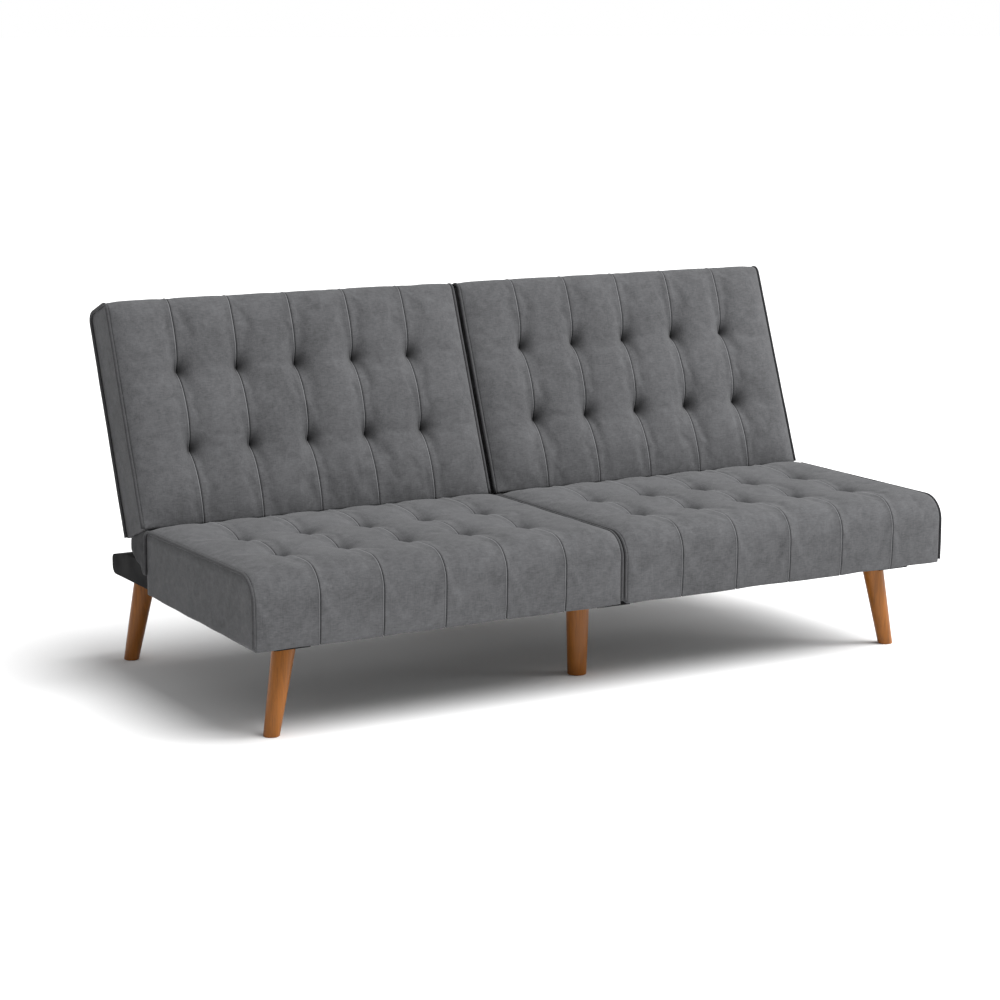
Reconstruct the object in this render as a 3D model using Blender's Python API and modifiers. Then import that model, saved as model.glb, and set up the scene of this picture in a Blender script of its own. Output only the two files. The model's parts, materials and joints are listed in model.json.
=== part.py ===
"""Futon sofa bed: two fixed seats on three rails, and two backs that recline on ratchet hinges.

The frame has X across the sofa, Y from front to rear and Z up, with the origin on the floor
under the middle of the sofa. Each back is modelled in its own hinge frame, an empty on the
hinge axis that leans with the back: Y runs through the cushion from face to rear, and Z up it.
"""

import math

import bmesh
import bpy
from mathutils import Matrix, Vector

# Overall size.
WIDTH = 1.700
DEPTH = 0.873
FRONT = -DEPTH / 2
REAR = DEPTH / 2
GAP = 0.0003

# Piping along the side edges of every cushion.
PIPING_R = 0.0035
PIPING_PROUD = 0.002
PIPING_LIFT = 0.002
PIPING_OVER_RAIL = 0.010
CLOTH = 0.0025
OPEN_BELOW = 0.05

# Where a cushion's side panels stand. The centre gaps lie between the two inner pipings.
SEAT_CENTRE_GAP = 0.002
BACK_CENTRE_GAP = 0.009
PIPING_ROOM = 2 * PIPING_R + GAP
SEAT_INNER = SEAT_CENTRE_GAP / 2 + PIPING_ROOM
BACK_INNER = BACK_CENTRE_GAP / 2 + PIPING_ROOM
OUTER_SIDE = WIDTH / 2 - PIPING_ROOM

# Seats.
SEAT_FRONT = FRONT + PIPING_PROUD
SEAT_REAR = 0.0985
SEAT_LOW = 0.202
SEAT_TOP = 0.345
SEAT_NOSE_R = 0.052
SEAT_BACK_R = 0.020

# Rails that carry the seats, and the stretchers between them.
RAIL_LOW = 0.184
RAIL_TOP = 0.2405
RAIL_FRONT = -0.3985
RAIL_TIP_DROP = 0.014
RAIL_TIP_LENGTH = 0.077
SIDE_RAIL_IN = 0.708
SIDE_RAIL_OUT = 0.785
CENTRE_RAIL_HALF = 0.040
STRETCHER_LOW = 0.190
STRETCHER_TOP = 0.232
STRETCHER_WIDTH = 0.040
STRETCHER_FRONTS = {"front": -0.330, "rear": 0.272}

# The loose cloth behind a seat, hanging over the hinges.
SKIRT_INSET = 0.003
SKIRT_Y = (SEAT_REAR + 0.0005, SEAT_REAR + 0.0017)
SKIRT_Z = (0.2425, 0.318)

# Wooden frames.
BOARD = 0.025
SEAT_FRAME_LOW = 0.2422
SEAT_BAR = 0.045
SLAT = 0.040
SLATS = 4
SEAT_FRAME_X = (0.030, 0.832)
SEAT_FRAME_Y = (SEAT_FRONT + 0.0145, SEAT_REAR - 0.0085)
APRON = 0.015
APRON_INSET = 0.001
APRON_LIFT = 0.004
DECK = 0.004
DUST_INNER = 0.035
DUST_ROOM = 0.001

# Recline hinges. The face of a back stays HINGE_TO_FACE from the axis, so it comes level
# with the seats when it lies flat.
HINGE_Y = 0.1275
HINGE_Z = 0.315
HINGE_TO_FACE = SEAT_TOP - HINGE_Z
LEAN = math.radians(20.8)
PLATE = 0.004
PLATE_GAP = 0.001
HEAD_R = 0.018
TEETH = 9
PIN_R = 0.006
PIN_HOLE_R = 0.0065
PIN_HEAD_R = 0.0095

# Backs, in the hinge frame.
BACK_FACE = -HINGE_TO_FACE
BACK_REAR = 0.072
BACK_LOW = 0.020
BACK_TOP = 0.513
BACK_FACE_R = 0.016
BACK_TOP_R = 0.022
BACK_FRAME_REAR = 0.067
BACK_FRAME_OUTER = 0.833
BACK_FRAME_INNER = 0.0496
BACK_STILE_IN = 0.7949
BACK_EDGE_ROOM = 0.002
BACK_MID_RAIL = (0.250, 0.290)
BACK_PANEL_X = (0.026, 0.838)
ARM_TOP = 0.165
ARM_SLOT_ROOM = 0.0008
ARM_SLOT_TOP = ARM_TOP + 0.010

# Legs: radii at the foot and the head, then the (x, y) of each corner leg's foot and head.
CORNER_LEG_R = (0.0165, 0.0245)
CENTRE_LEG_R = (0.0205, 0.0262)
FRONT_LEG_FOOT = (0.7713, -0.3461)
FRONT_LEG_HEAD = (0.7347, -0.3354)
REAR_LEG_FOOT = (0.7740, 0.3663)
REAR_LEG_HEAD = (0.7370, 0.3613)
CENTRE_LEG_X = 0.013
CENTRE_LEG_FRONT_Y = -0.233
BOLT_R = 0.004
BOLT_HOLE_R = 0.0045
BOLT_IN_LEG = 0.033
BOLT_IN_RAIL = 0.031

SIDES = {"left": -1, "right": 1}

for stale in list(bpy.data.objects):
    bpy.data.objects.remove(stale, do_unlink=True)


def new_collection(name):
    collection = bpy.data.collections.new(name)
    bpy.context.scene.collection.children.link(collection)
    return collection


PARTS = new_collection("futon_sofa_bed")
CUTTERS = new_collection("cutters")


def material(name, colour, roughness, metallic=0.0):
    made = bpy.data.materials.new(name)
    made.use_nodes = True
    shader = made.node_tree.nodes["Principled BSDF"]
    shader.inputs["Base Color"].default_value = (*colour, 1.0)
    shader.inputs["Roughness"].default_value = roughness
    shader.inputs["Metallic"].default_value = metallic
    return made


GREY_FABRIC = material("grey_fabric", (0.105, 0.107, 0.112), 0.9)
DARK_PIPING = material("dark_piping", (0.030, 0.030, 0.032), 0.8)
BLACK_CLOTH = material("black_cloth", (0.012, 0.012, 0.013), 0.95)
FOAM = material("foam", (0.75, 0.72, 0.62), 0.95)
PINE = material("pine", (0.60, 0.42, 0.22), 0.6)
PLYWOOD = material("plywood", (0.55, 0.38, 0.21), 0.65)
STAINED_WOOD = material("stained_wood", (0.50, 0.20, 0.062), 0.42)
BLACK_PAINT = material("black_paint", (0.012, 0.012, 0.012), 0.5)
STEEL = material("steel", (0.45, 0.45, 0.46), 0.38, 1.0)
BLACK_STEEL = material("black_steel", (0.02, 0.02, 0.02), 0.45, 0.6)


def add(name, data, finish=None):
    """Puts data in the scene as a part, or as a hidden cutter when it has no finish."""
    obj = bpy.data.objects.new(name, data)
    if finish:
        PARTS.objects.link(obj)
        data.materials.append(finish)
    else:
        CUTTERS.objects.link(obj)
        obj.hide_render = True
        obj.display_type = "WIRE"
    return obj


def attach(obj, hinge):
    """Parents obj to a hinge empty, so that its shape is in the hinge frame."""
    obj.parent = hinge
    return obj


def cut(obj, cutter, operation="DIFFERENCE", solver="EXACT"):
    boolean = obj.modifiers.new(cutter.name, "BOOLEAN")
    boolean.object = cutter
    boolean.operation = operation
    boolean.solver = solver


def ease_edges(obj, width, segments=1):
    bevel = obj.modifiers.new("eased_edges", "BEVEL")
    bevel.width = width
    bevel.segments = segments
    bevel.limit_method = "ANGLE"
    bevel.angle_limit = math.radians(40)


def box(name, x, y, z, finish=None):
    """A block between the (low, high) pairs x, y and z, with its origin at its middle."""
    mesh = bpy.data.meshes.new(name)
    shape = bmesh.new()
    bmesh.ops.create_cube(shape, size=1.0)
    sides = [high - low for low, high in (x, y, z)]
    bmesh.ops.scale(shape, vec=sides, verts=shape.verts)
    shape.to_mesh(mesh)
    shape.free()
    obj = add(name, mesh, finish)
    obj.location = [(low + high) / 2 for low, high in (x, y, z)]
    return obj


def across(side, inner, outer):
    """The (low, high) pair of x for a span given outwards from the middle of the sofa."""
    return tuple(sorted((side * inner, side * outer)))


def rounded(corners, arc_step=math.radians(18)):
    """Turns (u, v, radius) corners into outline points, with an arc at each round corner."""
    points = []
    for index, (u, v, radius) in enumerate(corners):
        corner = Vector((u, v))
        if not radius:
            points.append(corner)
            continue
        back = (Vector(corners[index - 1][:2]) - corner).normalized()
        ahead = (Vector(corners[(index + 1) % len(corners)][:2]) - corner).normalized()
        half = back.angle(ahead) / 2
        centre = corner + (back + ahead).normalized() * radius / math.sin(half)
        arm = corner + back * radius / math.tan(half) - centre
        turn = math.copysign(math.pi - 2 * half, ahead.cross(back))
        steps = max(2, round(abs(turn) / arc_step))
        for step in range(steps + 1):
            points.append(centre + Matrix.Rotation(turn * step / steps, 2) @ arm)
    return points


def circle(radius, count):
    angles = (2 * math.pi * step / count for step in range(count))
    return [Vector((radius * math.cos(a), radius * math.sin(a))) for a in angles]


def sheet(name, outlines, thickness, finish=None):
    """A flat piece: the first outline less the others, thickened half to each side."""
    curve = bpy.data.curves.new(name, "CURVE")
    curve.dimensions = "2D"
    curve.fill_mode = "BOTH"
    curve.extrude = thickness / 2
    for outline in outlines:
        spline = curve.splines.new("POLY")
        spline.points.add(len(outline) - 1)
        for point, (u, v) in zip(spline.points, outline):
            point.co = (u, v, 0.0, 1.0)
        spline.use_cyclic_u = True
    drawn = bpy.data.objects.new(name + "_outline", curve)
    PARTS.objects.link(drawn)
    graph = bpy.context.evaluated_depsgraph_get()
    mesh = bpy.data.meshes.new_from_object(drawn.evaluated_get(graph))
    bpy.data.objects.remove(drawn, do_unlink=True)
    shape = bmesh.new()
    shape.from_mesh(mesh)
    bmesh.ops.remove_doubles(shape, verts=shape.verts, dist=1e-6)
    shape.to_mesh(mesh)
    shape.free()
    mesh.materials.clear()
    return add(name, mesh, finish)


def side_profile(name, outlines, x, finish=None):
    """A sheet whose outlines are (y, z) points, standing across the span x."""
    obj = sheet(name, outlines, x[1] - x[0], finish)
    obj.rotation_euler = (math.pi / 2, 0, math.pi / 2)
    obj.location.x = (x[0] + x[1]) / 2
    return obj


def cord(name, points, radius, finish):
    """A round cord through points, with flat ends."""
    curve = bpy.data.curves.new(name, "CURVE")
    curve.dimensions = "3D"
    curve.bevel_depth = radius
    curve.bevel_resolution = 2
    curve.use_fill_caps = True
    spline = curve.splines.new("POLY")
    spline.points.add(len(points) - 1)
    for point, place in zip(spline.points, points):
        point.co = (*place, 1.0)
    return add(name, curve, finish)


def turned(name, profile, finish, segments=24):
    """A turned piece about Z. The profile's (radius, height) points run from top to bottom."""
    mesh = bpy.data.meshes.new(name)
    shape = bmesh.new()
    rim = [shape.verts.new((radius, 0, height)) for radius, height in profile]
    for upper, lower in zip(rim, rim[1:]):
        shape.edges.new((upper, lower))
    shape.to_mesh(mesh)
    shape.free()
    obj = add(name, mesh, finish)
    screw = obj.modifiers.new("turn", "SCREW")
    screw.steps = segments
    screw.render_steps = segments
    screw.use_merge_vertices = True
    screw.merge_threshold = 0.00005
    return obj


# Rails, stretchers and legs.


def rail(name, x):
    tip_z = RAIL_TOP - RAIL_TIP_DROP
    outline = rounded(
        [
            (RAIL_FRONT, RAIL_LOW, 0.004),
            (REAR, RAIL_LOW, 0.018),
            (REAR, tip_z, 0.013),
            (REAR - RAIL_TIP_LENGTH, RAIL_TOP, 0.030),
            (RAIL_FRONT, RAIL_TOP, 0.004),
        ]
    )
    obj = side_profile(name, [outline], x, BLACK_PAINT)
    ease_edges(obj, 0.002)
    return obj


def leg(name, foot, head, radii, rail_above):
    """A tapered leg that leans from foot to head, bored for the bolt that holds it."""
    height = RAIL_LOW - GAP
    mesh = bpy.data.meshes.new(name)
    shape = bmesh.new()
    bmesh.ops.create_cone(
        shape,
        segments=28,
        radius1=radii[0],
        radius2=radii[1],
        depth=height,
        cap_ends=True,
    )
    bmesh.ops.translate(shape, vec=(0, 0, height / 2), verts=shape.verts)
    lean = Vector((head[0] - foot[0], head[1] - foot[1])) / height
    for vert in shape.verts:
        vert.co.xy += lean * vert.co.z
    shape.to_mesh(mesh)
    shape.free()
    mesh.shade_smooth()
    mesh.set_sharp_from_angle(angle=math.radians(40))
    obj = add(name, mesh, STAINED_WOOD)
    obj.location = (*foot, 0)
    ease_edges(obj, 0.0015)
    bore = cylinder(name + "_bore", BOLT_HOLE_R, BOLT_IN_LEG + BOLT_IN_RAIL + 0.001)
    bore.location = (*head, RAIL_LOW + (BOLT_IN_RAIL - BOLT_IN_LEG) / 2)
    cut(obj, bore)
    cut(rail_above, bore)
    bolt = cylinder(name + "_bolt", BOLT_R, BOLT_IN_LEG + BOLT_IN_RAIL, STEEL)
    bolt.location = bore.location
    return obj


def cylinder(name, radius, length, finish=None):
    mesh = bpy.data.meshes.new(name)
    shape = bmesh.new()
    bmesh.ops.create_cone(
        shape, segments=16, radius1=radius, radius2=radius, depth=length, cap_ends=True
    )
    shape.to_mesh(mesh)
    shape.free()
    return add(name, mesh, finish)


def base():
    centre = rail("centre_rail", (-CENTRE_RAIL_HALF, CENTRE_RAIL_HALF))
    rear_y = REAR_LEG_FOOT[1]
    for place, y in (("front", CENTRE_LEG_FRONT_Y), ("rear", rear_y)):
        spot = (CENTRE_LEG_X, y)
        leg(f"centre_leg_{place}", spot, spot, CENTRE_LEG_R, centre)
    stretcher_x = (CENTRE_RAIL_HALF + GAP, SIDE_RAIL_IN - GAP)
    for word, side in SIDES.items():
        outer = rail(f"side_rail_{word}", across(side, SIDE_RAIL_IN, SIDE_RAIL_OUT))
        for place, foot, head in (
            ("front", FRONT_LEG_FOOT, FRONT_LEG_HEAD),
            ("rear", REAR_LEG_FOOT, REAR_LEG_HEAD),
        ):
            foot_xy = (side * foot[0], foot[1])
            head_xy = (side * head[0], head[1])
            leg(f"{place}_leg_{word}", foot_xy, head_xy, CORNER_LEG_R, outer)
        for place, y in STRETCHER_FRONTS.items():
            bar = box(
                f"{place}_stretcher_{word}",
                across(side, *stretcher_x),
                (y, y + STRETCHER_WIDTH),
                (STRETCHER_LOW, STRETCHER_TOP),
                BLACK_PAINT,
            )
            ease_edges(bar, 0.002)


# Seats.


def seat_corners(inset, low):
    """The seat's side outline, inset from the cover's outside, down to the height low."""
    front = SEAT_FRONT + inset
    rear = SEAT_REAR - inset
    top = SEAT_TOP - inset
    return [
        (front, low, 0),
        (rear, low, 0),
        (rear, top, SEAT_BACK_R - inset),
        (front, top, SEAT_NOSE_R - inset),
    ]


def rectangle(x, v):
    """Anticlockwise outline of the rectangle over the spans x and v."""
    corners = ((x[0], v[0]), (x[1], v[0]), (x[1], v[1]), (x[0], v[1]))
    return rounded([(*corner, 0) for corner in corners])


def ladder(x, v, openings, bar):
    """Outlines of a slatted panel: its edge, then the openings between its slats.

    x and v are the panel's spans, openings lists the openings' spans in v, and bar is the
    width of the panel's two end bars.
    """
    outlines = [rectangle(x, v)]
    room = x[1] - x[0] - 2 * bar
    width = (room - SLATS * SLAT) / (SLATS + 1)
    for column in range(SLATS + 1):
        left = x[0] + bar + column * (width + SLAT)
        for span in openings:
            outlines.append(rectangle((left, left + width), span)[::-1])
    return outlines


def apron(name, side):
    """The boards under a seat frame's front and outer edges, as one angle to join to it."""
    low = SEAT_LOW + APRON_LIFT
    top = SEAT_FRAME_LOW + BOARD / 2
    inner = side * (SEAT_FRAME_X[0] + APRON_INSET)
    outer = side * (SEAT_FRAME_X[1] - APRON_INSET)
    board = outer - side * APRON
    front = SEAT_FRAME_Y[0] + APRON_INSET
    rear = SEAT_FRAME_Y[1] - APRON_INSET
    outline = [
        (inner, front),
        (outer, front),
        (outer, rear),
        (board, rear),
        (board, front + APRON),
        (inner, front + APRON),
    ]
    angle = sheet(name, [outline[::side]], top - low)
    angle.location.z = (low + top) / 2
    return angle


def rail_clearances(word, side):
    """Cutters that let the rails and hinge brackets out through a seat cover."""
    top = RAIL_TOP + 0.0007
    low = SEAT_LOW - 0.02
    side_space = box(
        f"side_rail_space_{word}",
        across(side, SIDE_RAIL_IN - 0.005, SIDE_RAIL_OUT + 0.010),
        (0.05, 0.15),
        (low, top),
    )
    centre_space = box(
        f"centre_rail_space_{word}",
        across(side, -0.01, CENTRE_RAIL_HALF + 0.010),
        (RAIL_FRONT - 0.001, 0.15),
        (low, top),
    )
    return side_space, centre_space


def seat(word, side):
    frame_x = across(side, *SEAT_FRAME_X)
    frame_y = SEAT_FRAME_Y
    frame_top = SEAT_FRAME_LOW + BOARD
    opening = (frame_y[0] + SEAT_BAR, frame_y[1] - SEAT_BAR)
    outlines = ladder(frame_x, frame_y, [opening], SEAT_BAR)
    frame = sheet(f"seat_frame_{word}", outlines, BOARD, PINE)
    frame.location.z = SEAT_FRAME_LOW + BOARD / 2
    cut(frame, apron(f"apron_{word}", side), "UNION")
    deck_z = (frame_top + GAP, frame_top + GAP + DECK)
    box(f"seat_deck_{word}", frame_x, frame_y, deck_z, PLYWOOD)
    dust_x = across(side, DUST_INNER, SEAT_FRAME_X[1] - APRON_INSET - APRON - DUST_ROOM)
    dust_y = (frame_y[0] + APRON_INSET + APRON + DUST_ROOM, frame_y[1])
    dust_z = (RAIL_TOP + GAP, SEAT_FRAME_LOW - 2 * GAP)
    box(f"dust_cover_{word}", dust_x, dust_y, dust_z, BLACK_CLOTH)

    inner = CLOTH + GAP
    foam_x = across(side, SEAT_INNER + inner, OUTER_SIDE - inner)
    foam_outline = rounded(seat_corners(inner, deck_z[1] + GAP))
    side_profile(f"seat_foam_{word}", [foam_outline], foam_x, FOAM)
    cover_x = across(side, SEAT_INNER, OUTER_SIDE)
    outline = rounded(seat_corners(0, SEAT_LOW))
    cover = side_profile(f"seat_cover_{word}", [outline], cover_x, GREY_FABRIC)
    hollow_x = across(side, SEAT_INNER + CLOTH, OUTER_SIDE - CLOTH)
    hollow_outline = rounded(seat_corners(CLOTH, SEAT_LOW - OPEN_BELOW))
    hollow = side_profile(f"seat_hollow_{word}", [hollow_outline], hollow_x)
    cut(cover, hollow)
    for space in rail_clearances(word, side):
        cut(cover, space)

    inset = PIPING_R - PIPING_PROUD
    path = rounded(seat_corners(inset, SEAT_LOW + PIPING_LIFT))
    path = path[1:] + path[:1]
    path[0].y = RAIL_TOP + PIPING_OVER_RAIL
    for edge, x in piping_places(side, SEAT_INNER):
        points = [(x, y, z) for y, z in path]
        cord(f"seat_piping_{word}_{edge}", points, PIPING_R, DARK_PIPING)
    skirt_x = across(side, SEAT_INNER + SKIRT_INSET, OUTER_SIDE - SKIRT_INSET)
    box(f"hinge_skirt_{word}", skirt_x, SKIRT_Y, SKIRT_Z, GREY_FABRIC)


def piping_places(side, inner_side):
    """Each side edge's name, and the x of the middle of its piping."""
    inner = side * (inner_side - GAP - PIPING_R)
    outer = side * (WIDTH / 2 - PIPING_R)
    return ("inner", inner), ("outer", outer)


# Backs and their hinges.


def toothed_head():
    """The bracket's head: a ratchet sector behind and above the pin, round elsewhere."""
    first = math.radians(-60)
    sector = math.radians(150)
    pitch = sector / TEETH
    points = []
    for tooth in range(TEETH):
        start = first + tooth * pitch
        for part, radius in ((0, HEAD_R - 0.002), (0.75, HEAD_R)):
            angle = start + part * pitch
            points.append(Vector((radius * math.cos(angle), radius * math.sin(angle))))
    for step in range(6):
        angle = first + sector + step * math.radians(18)
        points.append(Vector((HEAD_R * math.cos(angle), HEAD_R * math.sin(angle))))
    return points


def hinge_bracket(name, x):
    """The fixed plate: bolted to a rail's side, with the toothed head round the axis."""
    centre = Vector((HINGE_Y, HINGE_Z))
    head = [centre + point for point in toothed_head()]
    foot_top = RAIL_TOP - 0.002
    foot_low = RAIL_LOW + 0.006
    neck = HEAD_R - 0.0005
    front = HINGE_Y - 0.026
    rear = HINGE_Y + 0.044
    outline = [
        *head,
        Vector((HINGE_Y - neck, foot_top)),
        Vector((front, foot_top)),
        Vector((front, foot_low)),
        Vector((rear, foot_low)),
        Vector((rear, foot_top)),
        Vector((HINGE_Y + neck, foot_top)),
    ]
    hole = [centre + point for point in circle(PIN_HOLE_R, 24)]
    return side_profile(name, [outline, hole[::-1]], x, BLACK_STEEL)


def hinge_arm(name, x, hinge):
    """The moving plate: from the pin back to the stile of the back frame, and up it."""
    head = HEAD_R - 0.0025
    strap = (BACK_FRAME_REAR - BOARD + 0.002, BACK_FRAME_REAR - 0.001)
    outline = rounded(
        [
            (-head, -head, head),
            (head, -head, head),
            (strap[1], 0.035, 0.020),
            (strap[1], ARM_TOP, 0.008),
            (strap[0], ARM_TOP, 0.008),
            (strap[0], 0.060, 0.020),
            (-head, head, head),
        ]
    )
    hole = circle(PIN_HOLE_R, 24)
    arm = side_profile(name, [outline, hole[::-1]], x, BLACK_STEEL)
    return attach(arm, hinge)


def hinge_pin(name, x_low, x_high):
    """A shouldered pin along X, headed outside x_low and x_high."""
    head = 0.003
    half = (x_high - x_low) / 2
    top = half + head
    profile = [
        (0, top),
        (PIN_HEAD_R - 0.001, top),
        (PIN_HEAD_R, top - 0.001),
        (PIN_HEAD_R, half),
        (PIN_R, half),
        (PIN_R, -half),
        (PIN_HEAD_R, -half),
        (PIN_HEAD_R, 0.001 - top),
        (PIN_HEAD_R - 0.001, -top),
        (0, -top),
    ]
    pin = turned(name, profile, STEEL)
    pin.rotation_euler.y = math.pi / 2
    pin.location = ((x_low + x_high) / 2, HINGE_Y, HINGE_Z)
    return pin


def back_corners(inset, low):
    """The back's side outline in the hinge frame, inset from the cover's outside."""
    face = BACK_FACE + inset
    rear = BACK_REAR - inset
    top = BACK_TOP - inset
    return [
        (face, low, 0),
        (rear, low, 0),
        (rear, top, BACK_TOP_R - inset),
        (face, top, BACK_FACE_R - inset),
    ]


def back(word, side):
    hinge = bpy.data.objects.new(f"recline_axis_{word}", None)
    PARTS.objects.link(hinge)
    hinge.location = (0, HINGE_Y, HINGE_Z)
    hinge.rotation_euler.x = -LEAN

    arm_slots = []
    for edge, rail_face in (("inner", CENTRE_RAIL_HALF), ("outer", SIDE_RAIL_OUT)):
        bracket_x = (rail_face + GAP, rail_face + GAP + PLATE)
        arm_x = (bracket_x[1] + PLATE_GAP, bracket_x[1] + PLATE_GAP + PLATE)
        hinge_bracket(f"hinge_bracket_{word}_{edge}", across(side, *bracket_x))
        hinge_arm(f"hinge_arm_{word}_{edge}", across(side, *arm_x), hinge)
        pin_x = across(side, bracket_x[0] - GAP, arm_x[1] + GAP)
        hinge_pin(f"hinge_pin_{word}_{edge}", *pin_x)
        slot = box(
            f"arm_slot_{word}_{edge}",
            across(side, arm_x[0] - ARM_SLOT_ROOM, arm_x[1] + ARM_SLOT_ROOM),
            (-0.1, 0.1),
            (-0.1, ARM_SLOT_TOP),
        )
        arm_slots.append(attach(slot, hinge))

    frame_x = across(side, BACK_FRAME_INNER, BACK_FRAME_OUTER)
    frame_z = (BACK_LOW + BACK_EDGE_ROOM, BACK_TOP - BACK_TOP_R - BACK_EDGE_ROOM)
    openings = [
        (frame_z[0] + SLAT, BACK_MID_RAIL[0]),
        (BACK_MID_RAIL[1], frame_z[1] - SLAT),
    ]
    outlines = ladder(frame_x, frame_z, openings, BACK_FRAME_OUTER - BACK_STILE_IN)
    frame = attach(sheet(f"back_frame_{word}", outlines, BOARD, PINE), hinge)
    frame.rotation_euler.x = math.pi / 2
    frame.location.y = BACK_FRAME_REAR - BOARD / 2
    cut(frame, arm_slots[1], solver="MANIFOLD")
    panel_y = (BACK_FRAME_REAR + GAP, BACK_REAR - CLOTH - GAP)
    panel_x = across(side, *BACK_PANEL_X)
    panel = box(f"back_panel_{word}", panel_x, panel_y, frame_z, PLYWOOD)
    attach(panel, hinge)

    inner = CLOTH + GAP
    foam_corners = back_corners(inner, BACK_LOW + BACK_EDGE_ROOM)
    foam_rear = BACK_FRAME_REAR - BOARD - GAP
    foam_corners[1] = (foam_rear, BACK_LOW + BACK_EDGE_ROOM, 0)
    foam_corners[2] = (foam_rear, BACK_TOP - inner, 0)
    foam_x = across(side, BACK_INNER + inner, OUTER_SIDE - inner)
    foam = side_profile(f"back_foam_{word}", [rounded(foam_corners)], foam_x, FOAM)
    attach(foam, hinge)
    for slot in arm_slots:
        cut(foam, slot)
    cover_x = across(side, BACK_INNER, OUTER_SIDE)
    outline = rounded(back_corners(0, BACK_LOW))
    cover = side_profile(f"back_cover_{word}", [outline], cover_x, GREY_FABRIC)
    attach(cover, hinge)
    hollow_x = across(side, BACK_INNER + CLOTH, OUTER_SIDE - CLOTH)
    hollow_outline = rounded(back_corners(CLOTH, BACK_LOW - OPEN_BELOW))
    hollow = side_profile(f"back_hollow_{word}", [hollow_outline], hollow_x)
    cut(cover, attach(hollow, hinge))

    path = rounded(back_corners(PIPING_R - PIPING_PROUD, BACK_LOW + PIPING_LIFT))
    path = path[1:] + path[:1]
    for edge, x in piping_places(side, BACK_INNER):
        points = [(x, y, z) for y, z in path]
        welt = cord(f"back_piping_{word}_{edge}", points, PIPING_R, DARK_PIPING)
        attach(welt, hinge)


base()
for word, side in SIDES.items():
    seat(word, side)
    back(word, side)
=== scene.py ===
"""Looks of a futon sofa bed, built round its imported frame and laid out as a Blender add-on.

X runs along the sofa, Y from front to rear and Z up, in metres. A back is shaped in its own
hinge frame, whose origin is on the recline axis: Y runs from its face to its rear, Z up it.
"""

import json
import math

import bmesh
import bpy
import numpy as np
from bpy.props import FloatProperty, FloatVectorProperty, IntProperty, PointerProperty
from mathutils import Matrix, Vector, noise


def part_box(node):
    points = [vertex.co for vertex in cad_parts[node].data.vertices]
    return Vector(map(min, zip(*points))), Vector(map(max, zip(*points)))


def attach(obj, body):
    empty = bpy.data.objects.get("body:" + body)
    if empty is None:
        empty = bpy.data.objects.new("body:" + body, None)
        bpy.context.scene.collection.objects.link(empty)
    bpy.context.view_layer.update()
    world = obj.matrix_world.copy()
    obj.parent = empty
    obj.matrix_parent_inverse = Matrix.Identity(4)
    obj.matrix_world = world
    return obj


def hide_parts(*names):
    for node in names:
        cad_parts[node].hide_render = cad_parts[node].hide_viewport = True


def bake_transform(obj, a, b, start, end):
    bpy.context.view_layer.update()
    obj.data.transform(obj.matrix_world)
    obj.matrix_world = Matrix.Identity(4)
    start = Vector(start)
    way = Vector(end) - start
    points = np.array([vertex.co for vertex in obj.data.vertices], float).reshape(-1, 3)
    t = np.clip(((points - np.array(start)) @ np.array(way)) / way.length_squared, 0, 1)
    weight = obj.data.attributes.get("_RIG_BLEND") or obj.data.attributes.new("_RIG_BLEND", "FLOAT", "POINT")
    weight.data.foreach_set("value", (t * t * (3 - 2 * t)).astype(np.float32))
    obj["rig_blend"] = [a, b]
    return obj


bl_info = {
    "name": "Futon Sofa Bed",
    "version": (1, 0, 0),
    "blender": (4, 5, 0),
    "location": "View3D > Sidebar > Futon",
    "description": "Channelled, tufted cushions, piping, legs and finishes of a futon sofa bed",
    "category": "Object",
}

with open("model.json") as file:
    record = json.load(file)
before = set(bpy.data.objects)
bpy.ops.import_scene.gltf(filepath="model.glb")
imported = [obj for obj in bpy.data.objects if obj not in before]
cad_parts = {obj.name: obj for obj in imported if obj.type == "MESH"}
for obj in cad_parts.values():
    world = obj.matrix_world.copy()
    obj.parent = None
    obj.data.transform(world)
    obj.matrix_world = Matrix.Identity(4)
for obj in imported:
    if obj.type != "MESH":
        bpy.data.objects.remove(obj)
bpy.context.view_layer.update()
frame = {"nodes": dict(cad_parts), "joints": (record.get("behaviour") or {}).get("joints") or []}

SIDES = {"left": -1, "right": 1}
EDGES = ("inner", "outer")
JOINTS = {joint["name"]: joint for joint in frame["joints"]}
HINGE = Vector((0.0, *JOINTS["recline_right"]["pos_m"][1:]))
LEAN = math.radians(90 - JOINTS["recline_right"]["range_deg"][1])
HINGE_FRAME = Matrix.Translation(HINGE) @ Matrix.Rotation(-LEAN, 4, "X")
WORLD_FRAME = Matrix.Identity(4)
BASE = "base"

SEAT_NOSE_R = 0.052
SEAT_REAR_R = 0.020
BACK_FACE_R = 0.016
BACK_REAR_R = 0.022
APRON_DEPTH = 0.034  # thickness of the padded front and side round the hollow under a seat
RECESS_TOP = 0.2432
HEM_DROP = -0.0055  # from the lower edge of a seat's plain block to its hem, at the front
HEM_LIFT = 0.0045  # the same at the rear
NESTLE = 0.0006  # how far a cushion's cheeks reach into their piping
TINY = 1e-5  # lengths below this count as none
NEAR = 1e-4


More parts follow.
